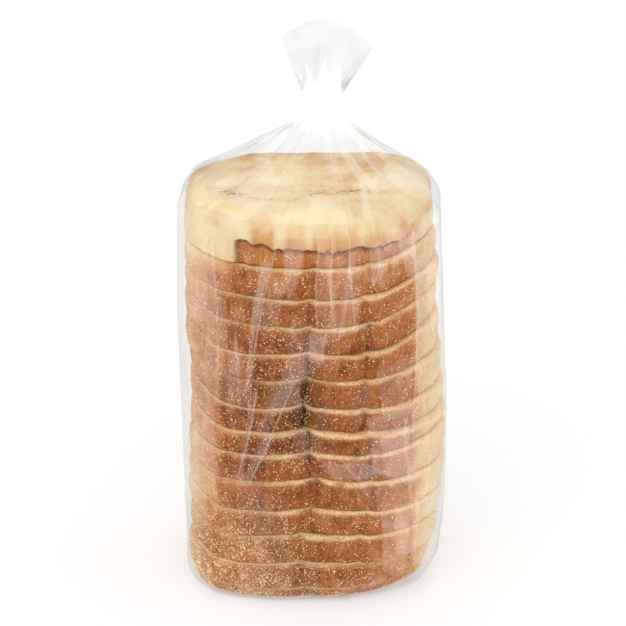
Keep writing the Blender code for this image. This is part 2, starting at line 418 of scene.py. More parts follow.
def end_side_brown(x, y, z, above_break, under, front):
    """How baked the upper end's side is: its lip and plain sides are pale, its band and back are browner."""
    lip_brown = mix(0.46, 0.32, rise(1.0, 8.0, above_break)) * mix(0.3, 1.0, rise(-40.0, -24.0, x))
    lip_brown = lip_brown - lip_patches(x)
    pale = mix(0.22, lip_brown, front) * rise(54.0, 42.0, np.abs(x))
    back_crust = 0.62 * rise(18.0, 40.0, y) * mix(1.0, 0.55, rise(TOP_CUT + 2.0, HEEL_RIM, z))
    least = 0.10 - 0.08 * rise(30.0, 44.0, x)
    brown = mix(np.maximum(np.maximum(pale, least), back_crust), 0.66, under)
    return brown + 0.08 * layered_noise(x, y, z, (5.0, 5.0, 12.0), 54)


def end_face(x, y, height, front):
    """The upper end's rounded edge and face: height, how baked, how much painted shade and how speckled they
    are.
    """
    on_top = rise(HEEL_RIM, LOAF_TOP, height)
    pillow = 1.1 * layered_noise(x, y, 0.0, 26.0, 55, 2) + 0.34 * layered_noise(x, y, 0.0, 6.0, 56)
    bent_x = x + 1.2 * noise(x, y, 0.0, 5.0, 57)
    bent_y = y + 1.5 * noise(x, y, 0.0, 6.0, 58)
    groove = path_distance(bent_x, bent_y, CREASE_PATH)
    groove_depth = 0.6 * np.exp(-groove / 1.8) * on_top * (0.55 + 0.45 * noise(x, y, 0.0, 7.0, 63))
    fold_depth = 0.7 * np.exp(-path_distance(x, y, FOLD_PATH) / 1.2) * on_top
    corner_drop = 2.6 * rise(-20.0, -48.0, x) * rise(0.0, 36.0, y)
    z = height + (pillow - groove_depth - fold_depth - corner_drop) * on_top
    edge_brown = 0.28 * front * rise(HEEL_RIM + 11.0, HEEL_RIM - 1.0, height)
    edge_brown = edge_brown * mix(1.0, 0.45, rise(16.0, 40.0, x)) * mix(1.0, 0.3, rise(-24.0, -34.0, x))
    edge_brown = edge_brown - lip_patches(x) * rise(HEEL_RIM + 9.0, HEEL_RIM, height)
    back_brown = 0.15 * rise(0.0, 26.0, y) + 0.10 * rise(-20.0, -48.0, x) * rise(-8.0, 16.0, y)
    brown = 0.09 + edge_brown + back_brown + 0.10 * np.exp(-groove / 3.0)
    brown = brown + 0.07 * hump(x, -26.0, 20.0) - 0.13 * rise(24.0, 44.0, x) * on_top
    brown = brown + 0.26 * layered_noise(x, y, 0.0, 13.0, 60)
    brown = brown + 0.16 * hump(np.hypot(x - 16.0, y - 7.0), 0.0, 16.0)
    broken = rise(-0.1, 0.5, noise(x, y, 0.0, 3.5, 64))
    # Painted shade along the end face's crease, broken into dots
    shade = 0.05 * np.exp(-groove / 0.8) * on_top * broken
    where_speckled = np.maximum(hump(x, -34.0, 14.0), hump(x, 12.0, 20.0))
    spot = np.exp(-groove / 2.2) * (0.35 + 0.65 * where_speckled) * on_top
    return z, brown, shade, spot


def upper_end():
    """The pale end piece on top: a pillowy domed face, a lip with a jagged lower edge, a brown band."""
    level = TOP_CUT + 6.0
    middle_x = loaf_middle_x(level)
    smooth_radius = loaf_radius(BREAD_ANGLES, level)
    x0 = middle_x + smooth_radius * np.cos(BREAD_ANGLES)
    y0 = LOAF_WIDEST_Y + smooth_radius * np.sin(BREAD_ANGLES)
    front = rise(5.0, -14.0, y0)
    in_band = rise(BAND_LEFT - 0.6, BAND_LEFT + 0.6, x0) * rise(BAND_RIGHT + 1.0, BAND_RIGHT - 1.5, x0)
    in_band = in_band * front
    jag = 1.5 * noise(x0, y0, 0.0, 5.5, 51) + 0.9 * noise(x0, y0, 0.0, 2.2, 52)
    edge_height = BREAK_HEIGHT + jag + 3.6 * rise(-4.0, -36.0, x0)
    rings = Rings()

    def add(x, y, z, brown, cut=0.0, shade=0.0, spot=0.0):
        rings.add(x, y, z, brown=np.clip(brown, 0.0, 1.0), cut=cut, shade=shade, spot=spot)

    def side_point(height, inset=0.0, share_in=1.0):
        """A ring's x and y at that height, and how far each of its points is under the lip."""
        under = rise(0.35, -0.35, height - edge_height) * in_band
        swell = 0.9 * noise(x0, y0, height, (15.0, 15.0, 15.0), 8)
        wrinkles = 0.35 * noise(x0, y0, height, (3.0, 3.0, 16.0), 53) * front
        band, _ = crust_relief(x0, y0, height, 0)
        relief = mix(1.1 * front + swell + wrinkles, band * 0.8 - 2.2, under)
        radius = (smooth_radius + relief - inset) * share_in
        return middle_x + radius * np.cos(BREAD_ANGLES), LOAF_WIDEST_Y + radius * np.sin(BREAD_ANGLES), under

    for share_in in reversed(FACE_RINGS):
        x, y, _ = side_point(HEEL_FOOT, BOTTOM_ROUND, share_in)
        add(x, y, cut_height(0, x, y) + CUT_GAP / 2.0, brown_share(x, y, level, 0.0), 1.0)
    for turn in ROUND_TURNS[:-1]:
        x, y, _ = side_point(HEEL_FOOT, BOTTOM_ROUND * (1.0 - math.sin(turn)))
        z = cut_height(0, x, y) + CUT_GAP / 2.0 + BOTTOM_ROUND * (1.0 - math.cos(turn))
        add(x, y, z, brown_share(x, y, z, 0.0), 0.4 * (1.0 - math.sin(turn)))
    for share in np.linspace(0.0, 1.0, HEEL_SIDE_ROWS):
        height = mix(HEEL_FOOT, HEEL_RIM, share)
        x, y, under = side_point(height)
        z = mix(cut_height(0, x, y) + CUT_GAP / 2.0 + BOTTOM_ROUND, HEEL_RIM, share)
        brown = end_side_brown(x, y, z, height - edge_height, under, front)
        # Painted shadow just under the lip, and painted shade on the step at the band's left end
        under_lip_shadow = under * rise(-3.2, -0.4, height - edge_height)
        band_end_shade = 0.7 * hump(x0, BAND_LEFT, 1.1) * rise(0.0, -1.0, height - edge_height) * front
        add(x, y, z, brown, shade=np.maximum(under_lip_shadow, band_end_shade))
    for row in range(1, HEEL_ROUND_ROWS + 1):
        turn = math.pi / 2.0 * row / HEEL_ROUND_ROWS
        x, y, _ = side_point(HEEL_RIM, HEEL_ROUND * (1.0 - math.cos(turn)))
        z, brown, shade, spot = end_face(x, y, HEEL_RIM + HEEL_ROUND * math.sin(turn), front)
        add(x, y, z, brown, 0.0, shade, spot)
    for row in range(1, HEEL_FACE_ROWS + 1):
        x, y, _ = side_point(HEEL_RIM, HEEL_ROUND, 1.0 - row / (HEEL_FACE_ROWS + 1.0))
        z, brown, shade, spot = end_face(x, y, LOAF_TOP, front)
        add(x, y, z, brown, 0.0, shade, spot)
    return rings.make("end_top"), rings.part(len(FACE_RINGS) + len(ROUND_TURNS) + 2, BAND_ROWS)


END_LEVEL = TOP_CUT - SLICE_PITCH * SLICES  # height of the lowest cut
END_FLOOR = 0.9
END_INSET = 0.8
END_ROUND_ROWS = 9


def lower_end():
    """The end piece that the loaf stands on: thin, with a rounded underside."""
    middle_x = loaf_middle_x(END_LEVEL)
    smooth_radius = loaf_radius(BREAD_ANGLES, END_LEVEL) - END_INSET
    x0 = middle_x + smooth_radius * np.cos(BREAD_ANGLES)
    y0 = LOAF_WIDEST_Y + smooth_radius * np.sin(BREAD_ANGLES)
    under_round = mix(9.0, 5.5, rise(10.0, -40.0, x0))
    relief, shade = crust_relief(x0, y0, END_LEVEL * 0.5, SLICES)
    rings = Rings()

    def add_ring(inset, z_of, cut=0.0, share_in=1.0):
        radius = (smooth_radius + 0.6 * relief - inset) * share_in
        x, y = middle_x + radius * np.cos(BREAD_ANGLES), LOAF_WIDEST_Y + radius * np.sin(BREAD_ANGLES)
        z = z_of(x, y)
        brown = np.clip(brown_share(x, y, z, 1.0) * 0.92, 0.0, 1.0)
        # The creases' painted shade, weaker on the lower end
        rings.add(x, y, z, brown=brown, cut=cut, shade=shade * 0.6)

    def underside(lift):
        return lambda x, y: END_FLOOR + lift + 0.2 * noise(x, y, 0.0, 8.0, 71)

    def under_cut(drop):
        return lambda x, y: cut_height(SLICES, x, y) - CUT_GAP / 2.0 - drop

    for share_in in reversed(FACE_RINGS):
        add_ring(under_round, underside(0.0), share_in=share_in)
    for turn in np.linspace(0.0, math.pi / 2.0, END_ROUND_ROWS)[:-1]:
        lift = (END_LEVEL - END_FLOOR - 2.2) * (1.0 - math.cos(turn))
        add_ring(under_round * (1.0 - math.sin(turn)), underside(lift))
    top_round = 1.1
    for turn in ROUND_TURNS:
        drop = top_round * (1.0 - math.sin(turn))
        add_ring(top_round * (1.0 - math.cos(turn)), under_cut(drop), rise(0.0, 0.9, turn))
    for share_in in FACE_RINGS:
        add_ring(top_round, under_cut(0.0), 1.0, share_in)
    return rings.make("end_base"), rings.part(len(FACE_RINGS), END_ROUND_ROWS + 1)


# ---------------------------------------------------------------- materials

WHITE = (1.0, 1.0, 1.0)


class Graph:
    """A node graph, with short ways to add what the materials and the world are made of."""

    def __init__(self, tree):
        self.nodes, self.links = tree.nodes, tree.links

    def give(self, node, inputs):
        """Set a node's inputs: each to a number, a colour, a vector or another node's output."""
        for name, value in inputs.items():
            socket = node.inputs[name]
            if isinstance(value, bpy.types.NodeSocket):
                self.links.new(value, socket)
            elif socket.type == "RGBA":
                socket.default_value = (*value, 1.0)
            else:
                socket.default_value = value

    def add(self, kind, output, inputs=None, **settings):
        """A new node with its settings and inputs; returns the output of that name."""
        node = self.nodes.new("ShaderNode" + kind)
        for name, value in settings.items():
            setattr(node, name, value)
        self.give(node, inputs or {})
        return node.outputs[output]

    def maths(self, operation, a, b, clamp=False):
        return self.add("Math", "Value", {0: a, 1: b}, operation=operation, use_clamp=clamp)

    def times(self, a, b, clamp=False):
        return self.maths("MULTIPLY", a, b, clamp)

    def plus(self, a, b, clamp=False):
        return self.maths("ADD", a, b, clamp)

    def minus(self, a, b):
        return self.maths("SUBTRACT", a, b)

    def noise(self, place, scale, detail=3.0, stretch=None, roughness=0.5):
        if stretch:
            place = self.add("Mapping", "Vector", {"Vector": place, "Scale": stretch})
        inputs = {"Vector": place, "Scale": scale, "Detail": detail, "Roughness": roughness}
        return self.add("TexNoise", "Fac", inputs)

    def ramp(self, factor, *stops):
        """A colour ramp through stops of (place, colour)."""
        node = self.nodes.new("ShaderNodeValToRGB")
        band = node.color_ramp
        while len(band.elements) < len(stops):
            band.elements.new(0.5)
        for element, (place, colour) in zip(band.elements, stops):
            element.position = place
            element.color = (*colour, 1.0)
        self.give(node, {"Fac": factor})
        return node.outputs["Color"]

    def mask(self, factor, low, high):
        """0 below low, 1 above high, and even between."""
        return self.ramp(factor, (low, (0.0, 0.0, 0.0)), (high, WHITE))

    def span(self, value, low, high):
        """0 below low, 1 above high, and smooth between; low may be the greater."""
        inputs = {"Value": value, "From Min": low, "From Max": high}
        return self.add("MapRange", "Result", inputs, interpolation_type="SMOOTHSTEP")

    def mix(self, share, a, b, blend="MIX"):
        inputs = {"Factor": share, "A": a, "B": b}
        return self.add("Mix", "Result", inputs, data_type="RGBA", blend_type=blend)

    def layers(self, share, under, over):
        """One shader over another."""
        return self.add("MixShader", "Shader", {"Fac": share, 1: under, 2: over})

    def bump(self, height, strength, distance):
        return self.add("Bump", "Normal", {"Height": height, "Strength": strength, "Distance": distance})

    def attribute(self, label):
        return self.add("Attribute", "Fac", attribute_name=label)

    def place(self):
        return self.add("TexCoord", "Object")


def new_material(name):
    material = bpy.data.materials.new(name)
    material.use_nodes = True
    graph = Graph(material.node_tree)
    return material, graph, graph.nodes["Principled BSDF"]


def srgb(red, green, blue):
    """A colour given as 0 to 255 screen values, made linear."""
    channels = []
    for value in (red, green, blue):
        value = value / 255.0
        channels.append(value / 12.92 if value <= 0.04045 else ((value + 0.055) / 1.055) ** 2.4)
    return tuple(channels)


def crust_colour(graph, place, streaks):
    """Crust from pale to dark by how baked it is, darkened by painted shade, with dark dots, golden grains
    and dark flecks.
    """
    times, plus, minus = graph.times, graph.plus, graph.minus
    brown, shade, spot = (graph.attribute(label) for label in ("brown", "shade", "spot"))
    mottle = graph.noise(place, 190.0, 4.0, roughness=0.6)
    strength = plus(times(brown, 0.55), 0.12)
    baked = plus(brown, times(minus(mottle, 0.5), strength))
    baked = plus(baked, times(minus(streaks, 0.5), strength), clamp=True)
    crust = graph.ramp(
        baked,
        (0.00, srgb(240, 221, 178)),
        (0.18, srgb(232, 202, 150)),
        (0.40, srgb(216, 162, 102)),
        (0.62, srgb(190, 119, 60)),
        (0.82, srgb(162, 88, 38)),
        (1.00, srgb(122, 60, 24)),
    )
    # Painted shade: darker in the creases, under the end piece's lip and at its band's left end
    crust = graph.mix(times(shade, 0.75, clamp=True), crust, srgb(74, 36, 14))
    dots = graph.mask(graph.noise(place, 560.0), 0.49, 0.55)
    crust = graph.mix(times(spot, dots), crust, srgb(118, 80, 40))
    gold = graph.mask(graph.noise(place, 1250.0, 2.0, stretch=(1.0, 1.0, 0.8)), 0.54, 0.62)
    crust = graph.mix(times(gold, times(brown, 0.46)), crust, srgb(222, 158, 94))
    flecks = graph.mask(graph.noise(place, 900.0, 4.0, stretch=(1.0, 1.0, 0.5)), 0.56, 0.68)
    return graph.mix(times(flecks, times(brown, 0.38)), crust, srgb(132, 68, 30))


def bread_material():
    """Crust, crumb where the bread is cut, and pores and wrinkles as bump."""
    material, graph, shader = new_material("bread")
    times, plus = graph.times, graph.plus
    place = graph.place()
    streaks = graph.noise(place, 420.0, stretch=(1.0, 1.0, 0.22))
    crust = crust_colour(graph, place, streaks)
    fine = graph.noise(place, 900.0)
    crumb = graph.ramp(
        fine,
        (0.28, srgb(218, 166, 106)),
        (0.50, srgb(243, 206, 150)),
        (0.75, srgb(251, 228, 184)),
    )
    cut = graph.attribute("cut")
    ragged = times(graph.minus(fine, 0.5), 0.5)
    cut_share = plus(cut, times(ragged, cut), clamp=True)
    surface = plus(times(streaks, 0.8), graph.noise(place, 1300.0, 2.0))
    graph.give(shader, {
        "Base Color": graph.mix(cut_share, crust, crumb),
        "Roughness": 0.6,
        "Specular IOR Level": 0.2,
        "Normal": graph.bump(surface, 0.5, 0.0005),
    })
    return material


def semolina_material():
    material, graph, shader = new_material("semolina")
    colour = graph.ramp(
        graph.noise(graph.place(), 700.0, 1.0),
        (0.35, srgb(228, 172, 108)),
        (0.48, srgb(250, 212, 154)),
        (0.60, srgb(255, 238, 200)),
    )
    graph.give(shader, {"Base Color": colour, "Roughness": 0.4})
    return material


def film_material():
    """Clear film: see-through, shiny by angle, and milky where it is creased or gathered, and where painted
    sheen and reflections lie on it as milkiness.
    """
    material, graph, principled = new_material("film")
    graph.nodes.remove(principled)
    times, plus, minus = graph.times, graph.plus, graph.minus
    place = graph.place()
    height = graph.add("SeparateXYZ", "Z", {"Vector": place})
    facing = graph.add("LayerWeight", "Facing", {"Blend": 0.35})
    tint = graph.ramp(
        facing,
        (0.00, (0.955, 0.955, 0.958)),
        (0.75, (0.930, 0.932, 0.936)),
        (1.00, (0.830, 0.834, 0.845)),
    )
    in_ruffle = graph.span(height, 0.221, 0.229)
    tint = graph.mix(in_ruffle, tint, (0.978, 0.975, 0.972), "MULTIPLY")
    clear = graph.add("BsdfTransparent", "BSDF", {"Color": tint})

    # The film lies in flat cells: each tilts its gloss another way, and some are faintly milky as a painted
    # sheen
    cell_place = graph.add("Mapping", "Vector", {
        "Vector": place,
        "Scale": (1.0, 1.0, 0.38),
        "Rotation": (0.0, 0.14, 0.0),
    })
    cell = graph.add("TexVoronoi", "Color", {"Vector": cell_place, "Scale": 100.0})
    spread, least = (0.22, 0.22, 0.22), (-0.11, -0.11, -0.11)
    tilt = graph.add("VectorMath", "Vector", {0: cell, 1: spread, 2: least}, operation="MULTIPLY_ADD")
    geometry = graph.nodes.new("ShaderNodeNewGeometry")
    tilted = graph.add("VectorMath", "Vector", {0: geometry.outputs["Normal"], 1: tilt})
    normal = graph.add("VectorMath", "Vector", {0: tilted}, operation="NORMALIZE")
    gloss = graph.add("BsdfGlossy", "BSDF", {"Color": WHITE, "Roughness": 0.06, "Normal": normal})

    # It shines less on its inner side, and less over the loaf's end
    over_loaf = graph.span(height, 0.182, 0.196)
    outer = minus(1.1, geometry.outputs["Backfacing"])
    calm = minus(1.0, times(over_loaf, 0.45))
    fresnel = graph.add("Fresnel", "Fac", {"IOR": 1.42, "Normal": normal})
    clean = graph.layers(times(times(fresnel, outer), calm, clamp=True), clear, gloss)

    # Warm over the loaf's sides and cool above its end, where it offsets the bread's warm light shining up
    # through the film
    tone = graph.mix(over_loaf, (0.97, 0.89, 0.81), (0.94, 0.955, 0.98))
    milk = graph.add("BsdfDiffuse", "BSDF", {"Color": tone})
    through = graph.add("BsdfTranslucent", "BSDF", {"Color": tone})
    # Painted glow: the milky film gives off light of its own, most where it is gathered at the neck
    glow = graph.add("Emission", "Emission", {"Color": tone, "Strength": 0.35})
    milk_and_sheen = graph.add("AddShader", "Shader", {0: graph.layers(0.3, milk, through), 1: glow})
    faint = times(graph.maths("POWER", graph.add("SeparateColor", "Red", {"Color": cell}), 3.0), 0.05)
    haze = plus(graph.attribute("haze"), faint, clamp=True)
    graph.give(graph.nodes["Material Output"], {"Surface": graph.layers(haze, clean, milk_and_sheen)})
    return material


def tie_material():
    """Gathered white film, with fine upright ribs, and a painted glow of its own light that keeps it white.
    """
    material, graph, shader = new_material("tie")
    ribs = graph.noise(graph.place(), 900.0, 2.0, stretch=(1.0, 1.0, 0.1))
    graph.give(shader, {
        "Base Color": graph.ramp(ribs, (0.3, (0.86, 0.865, 0.87)), (0.7, (0.95, 0.95, 0.95))),
        # Painted glow: the tie gives off light of its own
        "Emission Color": WHITE,
        "Emission Strength": 0.16,
        "Roughness": 0.35,
        "Normal": graph.bump(ribs, 0.3, 0.0003),
    })
    return material


# ---------------------------------------------------------------- semolina on the crust

GRAIN_LEAST_SIZE, GRAIN_MOST_SIZE = 0.17, 0.48
GRAINS_PER_AREA = 1.85  # in each square millimetre where dusty is 1
GRAIN_CORNERS = np.array([(1, 0, 0), (-1, 0, 0), (0, 1, 0), (0, -1, 0), (0, 0, 1), (0, 0, -1)], float)
GRAIN_FACES = ((0, 2, 4), (2, 1, 4), (1, 3, 4), (3, 0, 4), (2, 0, 5), (1, 2, 5), (3, 1, 5), (0, 3, 5))


def crust_cells(sides):
    """The cells between rows of crust points: corner, two sides, outward direction and expected grains."""
    corner = sides[:-1, :]
    along = np.roll(sides, -1, axis=1)[:-1, :] - corner
    up = sides[1:, :] - corner
    normal = np.cross(along, up)
    area = np.linalg.norm(normal, axis=-1)
    x, y, z = corner[..., 0], corner[..., 1], corner[..., 2]
    front = rise(4.0, -16.0, y)
    dusty = 0.30 + 0.25 * rise(0.1, 0.6, layered_noise(x, y, z, 14.0, 81))
    dusty = dusty + 1.1 * rise(10.0, -30.0, x) * rise(56.0, 18.0, z)
    dusty = dusty + 0.40 * rise(30.0, 8.0, z) + 0.30 * rise(150.0, 170.0, z)
    dusty = dusty * (1.0 - 0.35 * rise(-4.0, 6.0, x) * rise(120.0, 104.0, z) * rise(40.0, 56.0, z))
    dusty = dusty * (0.4 + 1.0 * rise(-0.2, 0.6, noise(x, y, z, 4.0, 82)))
    expected = area * dusty * front * GRAINS_PER_AREA
    return corner, along, up, normal / area[..., None], expected


def grain(corner, along, up, normal):
    """An angular grain, half sunk in the crust at a random place in a cell."""
    place = corner + along * rng.random() + up * rng.random()
    size = GRAIN_LEAST_SIZE + (GRAIN_MOST_SIZE - GRAIN_LEAST_SIZE) * rng.random() ** 2.2
    turn = np.linalg.qr(rng.normal(size=(3, 3)))[0]
    turn[:, 0] *= np.sign(np.linalg.det(turn))
    shape = GRAIN_CORNERS * rng.uniform(0.65, 1.25, size=(6, 1)) * size
    return shape @ turn + place + normal * size * 0.25


def semolina(all_sides):
    """All the grains on those rows of crust points, joined in one mesh."""
    grains = []
    for sides in all_sides:
        corner, along, up, normal, expected = crust_cells(sides)
        counts = rng.poisson(expected)
        for cell in zip(*np.nonzero(counts)):
            for _ in range(counts[cell]):
                grains.append(grain(corner[cell], along[cell], up[cell], normal[cell]))
    starts = range(0, len(grains) * len(GRAIN_CORNERS), len(GRAIN_CORNERS))
    faces = [(a + start, b + start, c + start) for start in starts for a, b, c in GRAIN_FACES]
    return make_mesh("semolina", np.concatenate(grains), faces, smooth_faces=False)


# ---------------------------------------------------------------- film

FILM_POINTS = 390
FILM_DENSITY = 0.5
FILM_FLOOR = 0.15
FILM_BASE_ROUND = 13.0
BODY_TOP = 171.0
BASE_FACE_RINGS = (0.04, 0.14, 0.28, 0.42, 0.56, 0.70, 0.82, 0.92)
BASE_ROWS = 10
BODY_ROWS = 134
CORNER_RADIUS = HEEL_ROUND + 1.4  # over the loaf's rounded end
CORNER_ROWS = 14
CONE_ROWS = 46
NECK_ROWS = 8
RUFFLE_ROWS = 30
NECK_LOW = TIE_LOW[2] - 0.5
NECK_HIGH = TIE_HIGH[2] + 0.3
NECK_FLARE = TIE_RADIUS + 0.6
RUFFLE_TOP = BAG_HIGH[2]
RUFFLE_HALF_WIDTH = 20.3
RUFFLE_HALF_DEPTH = 2.6
RUFFLE_LEAN = 3.2
PANELS = 24
PANEL_TILTS = (-2.4, 0.0, 2.2)
PLEAT_EDGES = 46
MOST_STAND_OUT = 1.8  # of facets, pleats and folds past the flat panels
GIRTH_RADIUS = 58.0  # turns an angle round the bag into a length
GIRTH = 2.0 * math.pi * GIRTH_RADIUS


def loaf_hull():
    """Points that the film's panels must stay outside of."""
    angle = np.linspace(0.0, 2.0 * math.pi, 144, endpoint=False)[None, :]
    z = np.linspace(1.0, TOP_CUT + 6.0, 34)[:, None]
    radius = loaf_radius(angle, z) + 1.3 * rise(0.2, -0.4, np.sin(angle))
    x = loaf_middle_x(z) + radius * np.cos(angle)
    y = LOAF_WIDEST_Y + radius * np.sin(angle)
    return np.stack([x, y, np.broadcast_to(z, x.shape)], axis=-1).reshape(-1, 3)


def film_panels():
    """Flat panels as (unit normal, reach): tight film is a many-sided shape that touches the loaf."""
    own = np.random.default_rng(17)
    hull = loaf_hull()
    panels = []
    for number in range(PANELS):
        for tilt in PANEL_TILTS:
            facing = 2.0 * math.pi * (number + own.uniform(-0.33, 0.33)) / PANELS
            lean = math.radians(tilt + own.uniform(-0.9, 0.9))
            level = math.cos(lean)
            normal = np.array((math.cos(facing) * level, math.sin(facing) * level, math.sin(lean)))
            reach = (hull @ normal).max() + FILM_GAP * own.uniform(0.4, 1.4)
            panels.append((normal, reach))
    return panels


def panel_radius(angle, z, panels):
    """Distance from the body's axis to the nearest panel."""
    nearest = np.full(np.broadcast_shapes(angle.shape, z.shape), 1000.0)
    for normal, reach in panels:
        facing = normal[0] * np.cos(angle) + normal[1] * np.sin(angle)
        room = reach - normal[2] * z - normal[1] * LOAF_WIDEST_Y
        nearest = np.where(facing > 0.25, np.minimum(nearest, room / np.maximum(facing, 0.25)), nearest)
    return nearest


def crumple(angle, z, cell, seed):
    """Height between 0 and 1 of flat-sided facets of about that size, with sharp edges."""
    own = np.random.default_rng(seed)
    low, high = -20.0, 240.0
    count = int(GIRTH * (high - low) / (cell[0] * cell[1]))
    s = own.uniform(0.0, GIRTH, count)
    t = own.uniform(low, high, count)
    height = own.random(count)
    s = np.concatenate([s - GIRTH, s, s + GIRTH])
    keep = (s > -60.0) & (s < GIRTH + 60.0)
    s, t, height = s[keep], np.tile(t, 3)[keep], np.tile(height, 3)[keep]
    flat = [Vector((a / cell[0], b / cell[1])) for a, b in zip(s, t)]
    places, _, triangles, sources, _, _ = delaunay_2d_cdt(flat, [], [], 0, 0.0001)
    place = np.array([tuple(p) for p in places])
    tall = np.array([height[source[0]] for source in sources])
    u = (angle % (2.0 * math.pi)) * GIRTH_RADIUS / cell[0]
    u, v = np.broadcast_arrays(u, z / cell[1])
    result = np.zeros(u.shape)
    for a, b, c in triangles:
        pa, pb, pc = place[a], place[b], place[c]
        low_corner, high_corner = np.min([pa, pb, pc], axis=0), np.max([pa, pb, pc], axis=0)
        near = (u >= low_corner[0]) & (u <= high_corner[0]) & (v >= low_corner[1]) & (v <= high_corner[1])
        if not near.any():
            continue
        du, dv = u[near] - pa[0], v[near] - pa[1]
        e1, e2 = pb - pa, pc - pa
        area = e1[0] * e2[1] - e1[1] * e2[0]
        wb = (du * e2[1] - dv * e2[0]) / area
        wc = (e1[0] * dv - e1[1] * du) / area
        inside = (wb >= -1e-6) & (wc >= -1e-6) & (wb + wc <= 1.0 + 1e-6)
        values = tall[a] * (1.0 - wb - wc) + tall[b] * wb + tall[c] * wc
        result[near] = np.where(inside, values, result[near])
    return result


def pleats(angle, edges, seed):
    """A zigzag round the bag with uneven steps, between -1 and 1."""
    own = np.random.default_rng(seed)
    steps = own.uniform(0.35, 1.0, edges)
    places = np.cumsum(steps) / steps.sum() * 2.0 * math.pi
    heights = np.where(np.arange(edges) % 2 == 0, 1.0, -1.0) * own.uniform(0.35, 1.0, edges)
    places = np.concatenate([places - 2.0 * math.pi, places, places + 2.0 * math.pi])
    return np.interp(angle % (2.0 * math.pi), places, np.tile(heights, 3))


# Loose folds on the front: x and height of their upper and lower ends, width, how far they stand out
FRONT_FOLDS = (
    (-16.5, 172.0, -27.5, 106.0, 2.6, 1.0),
    (-33.0, 128.0, -34.0, 112.0, 1.4, 0.6),
    (3.0, 176.0, 1.5, 128.0, 1.6, 0.7),
    (9.0, 178.0, 8.0, 140.0, 2.0, 0.8),
    (16.0, 176.0, 18.0, 132.0, 1.8, 0.7),
    (27.0, 172.0, 31.0, 150.0, 1.6, 0.6),
    (-8.0, 106.0, -30.0, 56.0, 3.0, 0.9),
    (-25.0, 104.0, -33.0, 58.0, 2.0, 0.7),
    (12.0, 72.0, 27.0, 48.0, 2.4, 0.6),
    (44.0, 168.0, 46.0, 96.0, 2.0, 0.8),
    (-44.0, 170.0, -41.0, 90.0, 2.0, 0.8),
    (40.0, 88.0, 46.0, 30.0, 2.2, 0.8),
)


def front_folds(x, y, z):
    """How far the folds stand out, and how milky their crests are: partly whitened film, partly a painted
    highlight.
    """
    stand_out = np.zeros(np.broadcast_shapes(x.shape, z.shape))
    crest = np.zeros(stand_out.shape)
    for x1, z1, x2, z2, width, stand in FRONT_FOLDS:
        share = (z1 - z) / (z1 - z2)
        middle = x1 + (x2 - x1) * share + 0.8 * np.sin(share * 4.0 + x1)
        fade = rise(-0.12, 0.10, share) * rise(1.15, 0.75, share)
        away = np.abs(x - middle)
        stand_out = np.maximum(stand_out, stand * fade * np.clip(1.0 - away / width, 0.0, 1.0))
        crest = np.maximum(crest, fade * np.clip(1.0 - away / 0.55, 0.0, 1.0))
    return stand_out * (y < 0.0), crest * (y < 0.0)


# Flat facets of the film painted milky as reflections seen from the front: x and height of four corners, then
# how milky
FRONT_SHEEN_FACETS = (
    (-62, 178, -46, 178, -47, 130, -62, 130, 0.06),
    (-62, 178, -37, 178, -38.5, 130, -62, 130, 0.06),
    (-62, 130, -38.5, 130, -42, 92, -62, 92, 0.05),
    (-62, 92, -44, 92, -43, 50, -62, 36, 0.10),
    (-40, 60, -12, 52, -9, 6, -44, 6, 0.02),
    (-22.8, 164, -18.2, 164, -25.6, 130, -28.2, 130, 0.14),
    (-27.8, 130, -25.6, 130, -28.2, 103, -29.8, 103, 0.12),
    (-18, 158, -9, 157, -13, 149, -20, 147, 0.08),
    (-22.5, 144, -14, 145, -16, 134, -24.5, 134, 0.05),
    (-9, 121, -2.5, 122, -3, 108, -15, 107, 0.07),
    (-1.5, 131, 6, 130, 4.5, 117, -2, 118, 0.12),
    (-38, 119, -30, 120, -31, 108, -37, 108, 0.07),
    (-37, 106, -29, 106, -28, 95, -38, 95, 0.07),
    (-19, 106, -6, 107, -5, 96, -21, 95, 0.06),
    (-14, 107, -8, 108, -21, 83, -26, 83, 0.05),
    (-21, 83, -16, 84, -28.5, 57, -33, 57, 0.07),
    (-27.5, 103, -24.5, 103, -31.5, 58, -33.5, 58, 0.05),
    (-14, 178, -3, 178, -6, 156, -11, 146, 0.10),
    (2, 176, 21, 176, 20, 132, 3, 125, 0.06),
    (5, 170, 8, 170, 10, 130, 9, 130, 0.07),
    (16, 170, 19, 170, 13, 130, 11.5, 131, 0.08),
    (24, 178, 34, 178, 33, 160, 26, 152, 0.12),
    (32, 178, 44, 178, 45, 164, 34, 160, 0.12),
    (34.5, 178, 62, 178, 62, 150, 42, 154, 0.11),
    (45, 156, 62, 152, 62, 96, 46, 96, 0.10),
    (44, 96, 62, 96, 62, 14, 46, 14, 0.12),
    (28, 112, 44, 118, 44, 90, 31, 88, 0.07),
    (24, 90, 45, 94, 46, 56, 27, 64, 0.11),
    (30, 80, 43, 84, 45, 60, 34, 56, 0.09),
    (3, 71, 24, 68, 36, 62, 10, 61, 0.10),
    (27, 55, 44, 60, 42, 34, 31, 36, 0.08),
    (36, 46, 48, 48, 47, 20, 38, 22, 0.13),
    (31, 40, 44, 36, 42, 10, 32, 14, 0.10),
)


